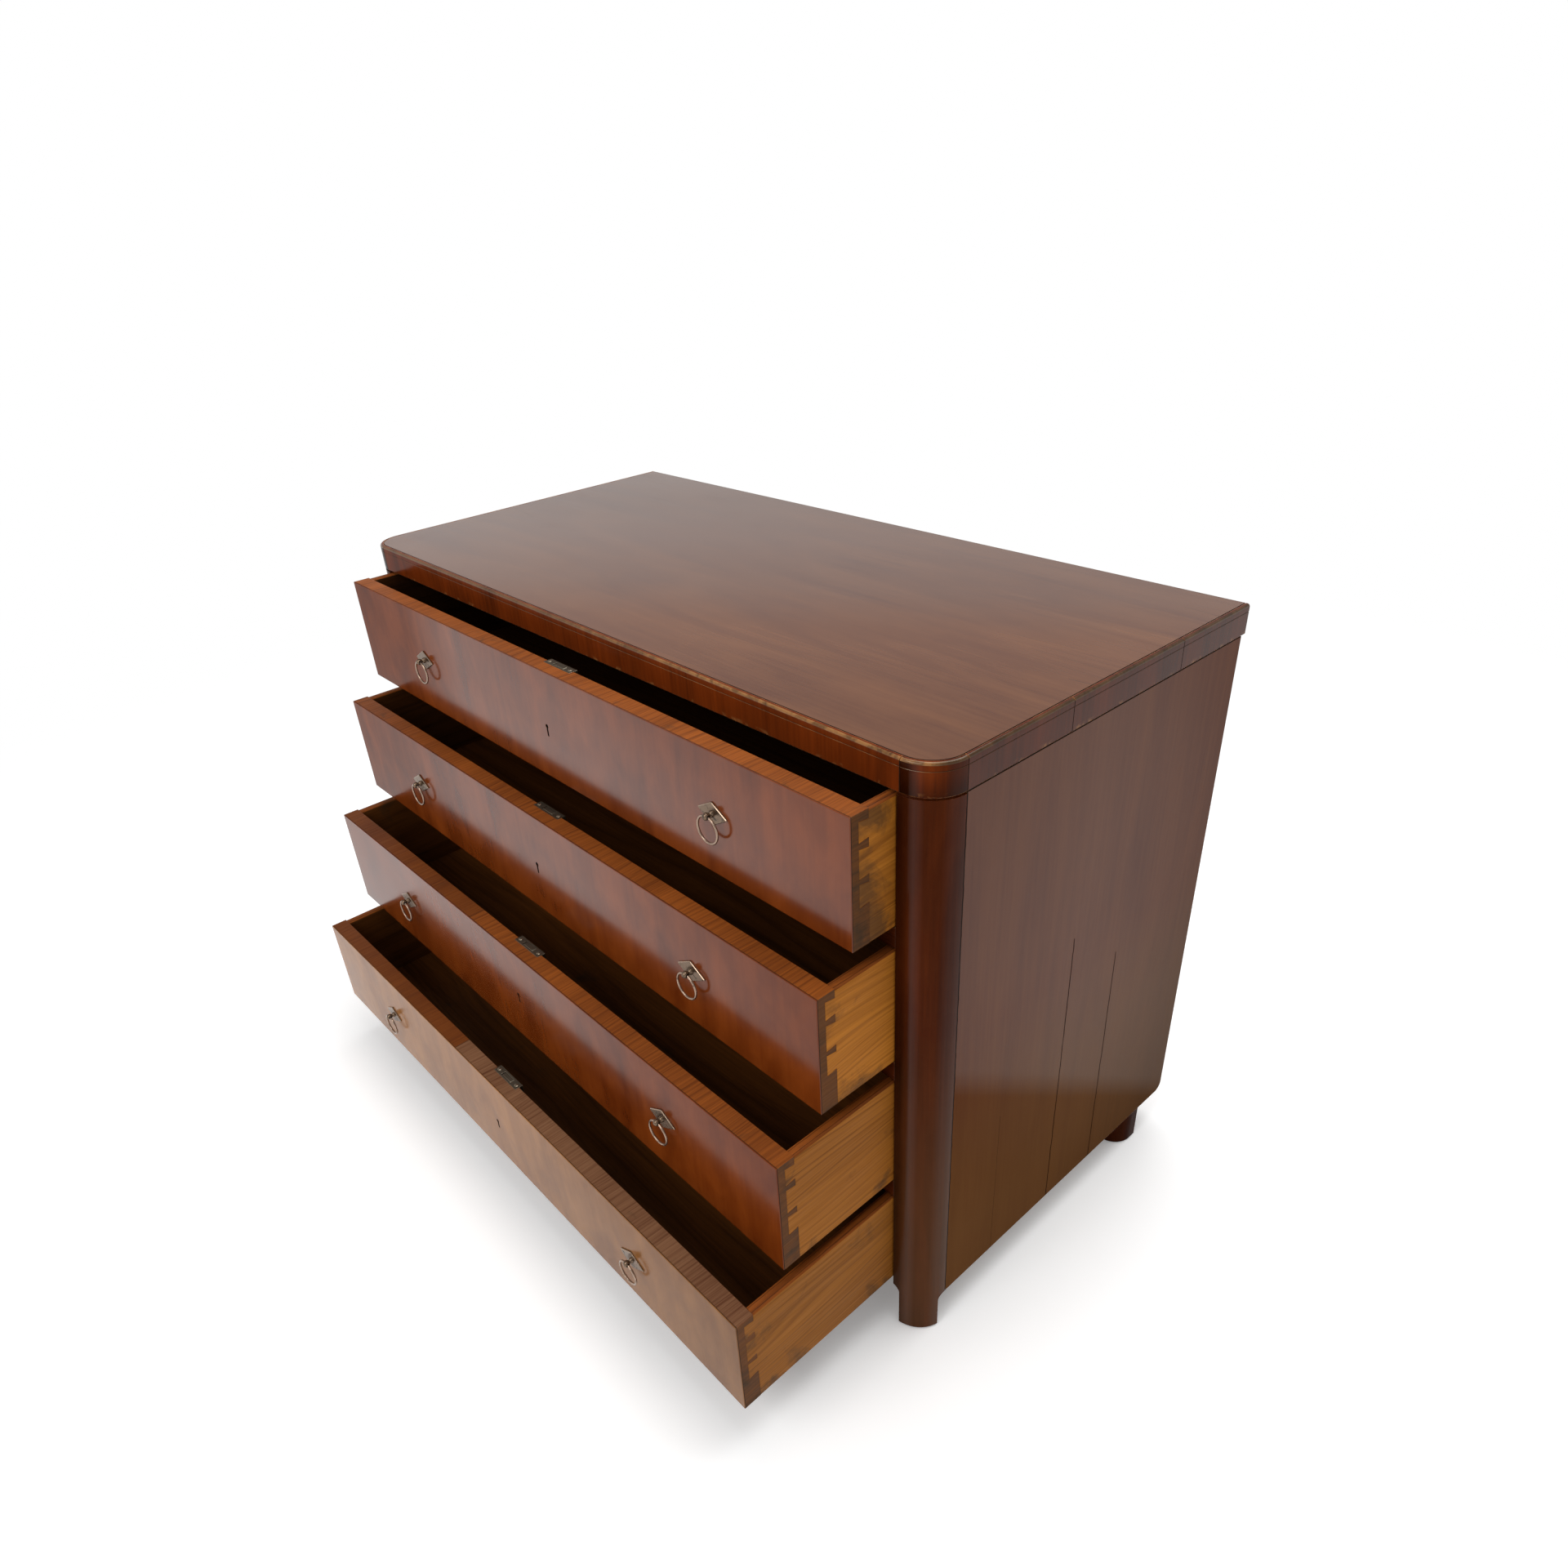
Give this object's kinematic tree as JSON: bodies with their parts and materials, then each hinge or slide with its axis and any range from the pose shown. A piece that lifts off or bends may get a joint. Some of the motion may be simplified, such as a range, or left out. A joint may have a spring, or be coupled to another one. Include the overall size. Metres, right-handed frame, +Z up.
{
  "type": "chest of drawers",
  "caption": "Low chest of drawers in veneered mahogany with quarter-round front posts running down as feet, full-width drawers, ring pulls and locks.",
  "frame": {"origin": "on the floor, midway between the sides and midway between the front plane and the rear edges of the sides", "axes": "+X to the right seen from the front, +Y to the back, +Z up"},
  "size_m": [1.15, 0.8139, 0.818],
  "materials": {
    "mahogany": "polished mahogany veneer, reddish brown",
    "pine": "aged unfinished pine, golden orange",
    "lock_steel": "dull hand-filed steel",
    "pull_brass": "old brass with a grey-brown patina"
  },
  "bodies": {
    "carcass": {"top_board": "mahogany", "top_edging": "mahogany", "top_corners": "mahogany", "post_left": "mahogany", "post_right": "mahogany", "side_left": "mahogany", "side_right": "mahogany", "rail_1": "mahogany", "rail_2": "mahogany", "rail_3": "mahogany", "runners_left": "pine", "runners_right": "pine", "bottom_board": "pine", "back_boards": "pine", "rear_foot_left": "mahogany", "rear_foot_right": "mahogany", "drawer_stops": "pine"},
    "drawer_1": {"drawer_1_front": "mahogany", "drawer_1_side_left": "pine", "drawer_1_side_right": "pine", "drawer_1_back": "pine", "drawer_1_bottom": "pine", "lock_1": "lock_steel", "pulls_1": "pull_brass"},
    "bolt_1": {"bolt_1": "lock_steel"},
    "ring_left_1": {"ring_left_1": "pull_brass"},
    "ring_right_1": {"ring_right_1": "pull_brass"},
    "drawer_2": {"drawer_2_front": "mahogany", "drawer_2_side_left": "pine", "drawer_2_side_right": "pine", "drawer_2_back": "pine", "drawer_2_bottom": "pine", "lock_2": "lock_steel", "pulls_2": "pull_brass"},
    "bolt_2": {"bolt_2": "lock_steel"},
    "ring_left_2": {"ring_left_2": "pull_brass"},
    "ring_right_2": {"ring_right_2": "pull_brass"},
    "drawer_3": {"drawer_3_front": "mahogany", "drawer_3_side_left": "pine", "drawer_3_side_right": "pine", "drawer_3_back": "pine", "drawer_3_bottom": "pine", "lock_3": "lock_steel", "pulls_3": "pull_brass"},
    "bolt_3": {"bolt_3": "lock_steel"},
    "ring_left_3": {"ring_left_3": "pull_brass"},
    "ring_right_3": {"ring_right_3": "pull_brass"},
    "drawer_4": {"drawer_4_front": "mahogany", "drawer_4_side_left": "pine", "drawer_4_side_right": "pine", "drawer_4_back": "pine", "drawer_4_bottom": "pine", "lock_4": "lock_steel", "pulls_4": "pull_brass"},
    "bolt_4": {"bolt_4": "lock_steel"},
    "ring_left_4": {"ring_left_4": "pull_brass"},
    "ring_right_4": {"ring_right_4": "pull_brass"}
  },
  "joints": [
    {"name": "drawer_1_slide", "type": "slide", "parent": "carcass", "child": "drawer_1", "axis": [0, -1, 0], "range_m": [-0.06, 0.34]},
    {"name": "bolt_1_slide", "type": "slide", "parent": "drawer_1", "child": "bolt_1", "axis": [0, 0, 1], "range_m": [0, 0.008]},
    {"name": "ring_left_1_swing", "type": "hinge", "parent": "drawer_1", "child": "ring_left_1", "pos_m": [-0.325, -0.342, 0.705], "axis": [-1, 0, 0], "range_deg": [-12, 192]},
    {"name": "ring_right_1_swing", "type": "hinge", "parent": "drawer_1", "child": "ring_right_1", "pos_m": [0.325, -0.342, 0.705], "axis": [-1, 0, 0], "range_deg": [-12, 192]},
    {"name": "drawer_2_slide", "type": "slide", "parent": "carcass", "child": "drawer_2", "axis": [0, -1, 0], "range_m": [-0.11, 0.29]},
    {"name": "bolt_2_slide", "type": "slide", "parent": "drawer_2", "child": "bolt_2", "axis": [0, 0, 1], "range_m": [0, 0.008]},
    {"name": "ring_left_2_swing", "type": "hinge", "parent": "drawer_2", "child": "ring_left_2", "pos_m": [-0.325, -0.392, 0.524], "axis": [-1, 0, 0], "range_deg": [-12, 192]},
    {"name": "ring_right_2_swing", "type": "hinge", "parent": "drawer_2", "child": "ring_right_2", "pos_m": [0.325, -0.392, 0.524], "axis": [-1, 0, 0], "range_deg": [-12, 192]},
    {"name": "drawer_3_slide", "type": "slide", "parent": "carcass", "child": "drawer_3", "axis": [0, -1, 0], "range_m": [-0.175, 0.225]},
    {"name": "bolt_3_slide", "type": "slide", "parent": "drawer_3", "child": "bolt_3", "axis": [0, 0, 1], "range_m": [0, 0.008]},
    {"name": "ring_left_3_swing", "type": "hinge", "parent": "drawer_3", "child": "ring_left_3", "pos_m": [-0.325, -0.457, 0.343], "axis": [-1, 0, 0], "range_deg": [-12, 192]},
    {"name": "ring_right_3_swing", "type": "hinge", "parent": "drawer_3", "child": "ring_right_3", "pos_m": [0.325, -0.457, 0.343], "axis": [-1, 0, 0], "range_deg": [-12, 192]},
    {"name": "drawer_4_slide", "type": "slide", "parent": "carcass", "child": "drawer_4", "axis": [0, -1, 0], "range_m": [-0.247, 0.153]},
    {"name": "bolt_4_slide", "type": "slide", "parent": "drawer_4", "child": "bolt_4", "axis": [0, 0, 1], "range_m": [0, 0.008]},
    {"name": "ring_left_4_swing", "type": "hinge", "parent": "drawer_4", "child": "ring_left_4", "pos_m": [-0.325, -0.529, 0.156], "axis": [-1, 0, 0], "range_deg": [-12, 192]},
    {"name": "ring_right_4_swing", "type": "hinge", "parent": "drawer_4", "child": "ring_right_4", "pos_m": [0.325, -0.529, 0.156], "axis": [-1, 0, 0], "range_deg": [-12, 192]}
  ]
}
